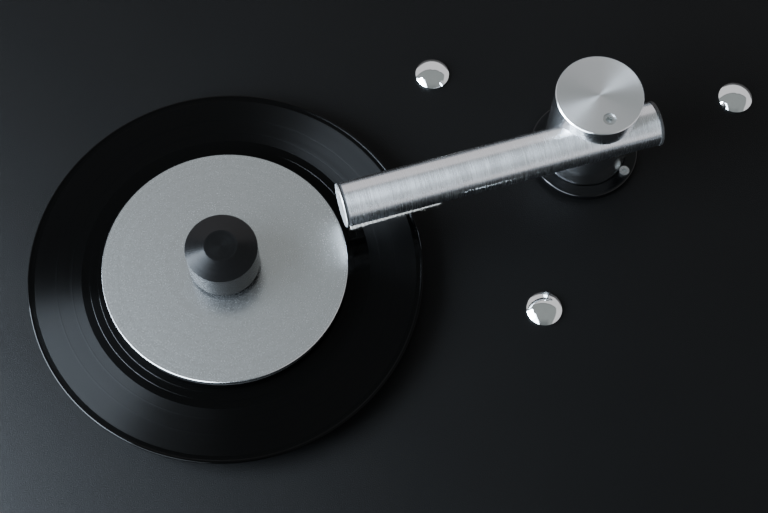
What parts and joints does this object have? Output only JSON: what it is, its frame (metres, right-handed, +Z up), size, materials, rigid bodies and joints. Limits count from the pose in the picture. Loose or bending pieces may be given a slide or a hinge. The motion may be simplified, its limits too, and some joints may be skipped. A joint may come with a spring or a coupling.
{
  "type": "vacuum record cleaning machine",
  "caption": "Boxy motor-driven record cleaner: small platter with record and screw-down clamp disc, and a swinging suction tube on a sprung post that lifts and drops.",
  "frame": {"origin": "on the floor under the middle of the whole machine's box", "axes": "+Z up, +X to the right along the cabinet's width, -Y towards the front with the switches"},
  "size_m": [0.42, 0.3859, 0.2445],
  "materials": {
    "deck_black": "fine-textured satin black powder coat",
    "cabinet_black": "satin black lacquer on board",
    "satin_black_steel": "satin black paint",
    "fibreboard": "bare fibreboard",
    "pine": "planed softwood",
    "rubber_black": "matt black rubber",
    "mat_rubber": "fine ribbed black rubber",
    "zinc_steel": "bright zinc plate",
    "spring_steel": "drawn spring steel",
    "spindle_steel": "ground steel",
    "tank_plastic": "moulded translucent white polyethylene",
    "fan_plastic": "moulded black nylon",
    "nylon_white": "machined white nylon",
    "board_green": "solder-masked board",
    "lever_plastic": "moulded red plastic",
    "plug_black": "satin black plastic",
    "switch_plastic": "fine-textured black plastic",
    "rocker_plastic": "polished black plastic",
    "vinyl_black": "pressed vinyl with fine grooves",
    "label_paper": "plain uncoated paper",
    "felt_cream": "cut wool felt with frayed edges",
    "chrome": "polished chrome plate",
    "brass": "turned brass",
    "nickel_brass": "nickel plate",
    "black_anodised": "satin black anodised, turned",
    "knob_black": "satin black anodised, turned",
    "tube_aluminium": "drawn tube, lightly brushed round its girth",
    "post_aluminium": "turned bar, faced top",
    "tip_aluminium": "faced aluminium",
    "disc_aluminium": "finely turned aluminium",
    "platter_aluminium": "turned aluminium",
    "impeller_aluminium": "pressed aluminium",
    "can_aluminium": "drawn can"
  },
  "bodies": {
    "cabinet": {"deck_panel": "deck_black", "front_panel": "cabinet_black", "rear_panel": "cabinet_black", "left_panel": "cabinet_black", "right_panel": "cabinet_black", "exhaust_grille": "satin_black_steel", "base_panel": "fibreboard", "corner_blocks": "pine", "feet": "rubber_black", "foot_screws": "zinc_steel", "tank_lid": "tank_plastic", "tank_seal": "rubber_black", "tank_body": "tank_plastic", "tank_screws": "chrome", "lift_sleeve": "nylon_white", "arm_collar": "black_anodised", "collar_screws": "zinc_steel", "lift_spring": "spring_steel", "drain_pipe": "nylon_white", "drain_valve": "nickel_brass", "suction_motor": "zinc_steel", "fan_case": "fan_plastic", "suction_hose": "rubber_black", "bearing_housing": "brass", "gear_motor": "zinc_steel", "motor_bracket": "zinc_steel", "standoffs": "zinc_steel", "rotation_switch_housing": "switch_plastic", "vacuum_switch_housing": "switch_plastic", "mains_inlet": "switch_plastic", "inlet_pins": "brass", "control_board": "board_green", "run_capacitor": "can_aluminium"},
    "platter": {"spindle_pin": "spindle_steel", "spindle_clip": "spring_steel", "platter": "platter_aluminium", "platter_mat": "mat_rubber", "drive_gear": "nylon_white", "record": "vinyl_black", "record_label": "label_paper"},
    "pinion": {"pinion": "brass"},
    "clamp_plate": {"clamp_disc": "disc_aluminium", "clamp_seal": "rubber_black"},
    "clamp_knob": {"clamp_knob": "knob_black", "clamp_clip": "spring_steel"},
    "lift_carriage": {"lift_washer": "brass"},
    "arm": {"arm_post": "post_aluminium", "tube_clamp_screw": "zinc_steel", "arm_tube": "tube_aluminium", "tip_seal": "rubber_black", "tip_cap": "tip_aluminium", "rear_plug": "plug_black", "felt_strips": "felt_cream", "retaining_ring": "zinc_steel"},
    "impeller": {"impeller": "impeller_aluminium", "fan_shaft": "zinc_steel"},
    "tap": {"tap_plug": "brass", "tap_lever": "lever_plastic"},
    "rotation_rocker": {"rotation_rocker": "rocker_plastic"},
    "vacuum_rocker": {"vacuum_rocker": "rocker_plastic"}
  },
  "joints": [
    {"name": "platter_spin", "type": "hinge", "parent": "cabinet", "child": "platter", "pos_m": [-0.055, -0.03199, 0.192], "axis": [0, 0, 1], "continuous": true},
    {"name": "pinion_spin", "type": "hinge", "parent": "cabinet", "child": "pinion", "pos_m": [-0.085, -0.03199, 0.13], "axis": [0, 0, 1], "continuous": true},
    {"name": "clamp_rise", "type": "slide", "parent": "platter", "child": "clamp_plate", "axis": [0, 0, 1], "range_m": [0, 0.007]},
    {"name": "knob_turn", "type": "hinge", "parent": "clamp_plate", "child": "clamp_knob", "pos_m": [-0.055, -0.03199, 0.215], "axis": [0, 0, 1], "range_deg": [0, 1440]},
    {"name": "arm_drop", "type": "slide", "parent": "cabinet", "child": "lift_carriage", "axis": [0, 0, 1], "range_m": [-0.0158, 0], "stiffness_N_per_m": 250, "springref_m": 0.02, "deforming": ["lift_spring"]},
    {"name": "arm_swing", "type": "hinge", "parent": "lift_carriage", "child": "arm", "pos_m": [0.1017, 0.04541, 0.2], "axis": [0, 0, 1], "range_deg": [-25, 110]},
    {"name": "impeller_spin", "type": "hinge", "parent": "cabinet", "child": "impeller", "pos_m": [0.14, -0.11499, 0.092], "axis": [0, 0, 1], "continuous": true},
    {"name": "tap_turn", "type": "hinge", "parent": "cabinet", "child": "tap", "pos_m": [0.1017, 0.16801, 0.054], "axis": [0, 0, 1], "range_deg": [0, 90]},
    {"name": "rotation_switch", "type": "hinge", "parent": "cabinet", "child": "rotation_rocker", "pos_m": [0.096, -0.18349, 0.136], "axis": [1, 0, 0], "range_deg": [-12, 12], "stiffness_Nm_per_rad": 0.02},
    {"name": "vacuum_switch", "type": "hinge", "parent": "cabinet", "child": "vacuum_rocker", "pos_m": [0.15, -0.18349, 0.136], "axis": [1, 0, 0], "range_deg": [0, 24]}
  ],
  "couplings": [
    {"joint": "pinion_spin", "follows": "platter_spin", "ratio": -4},
    {"joint": "knob_turn", "follows": "clamp_rise", "rad_per_m": 3590.4}
  ]
}
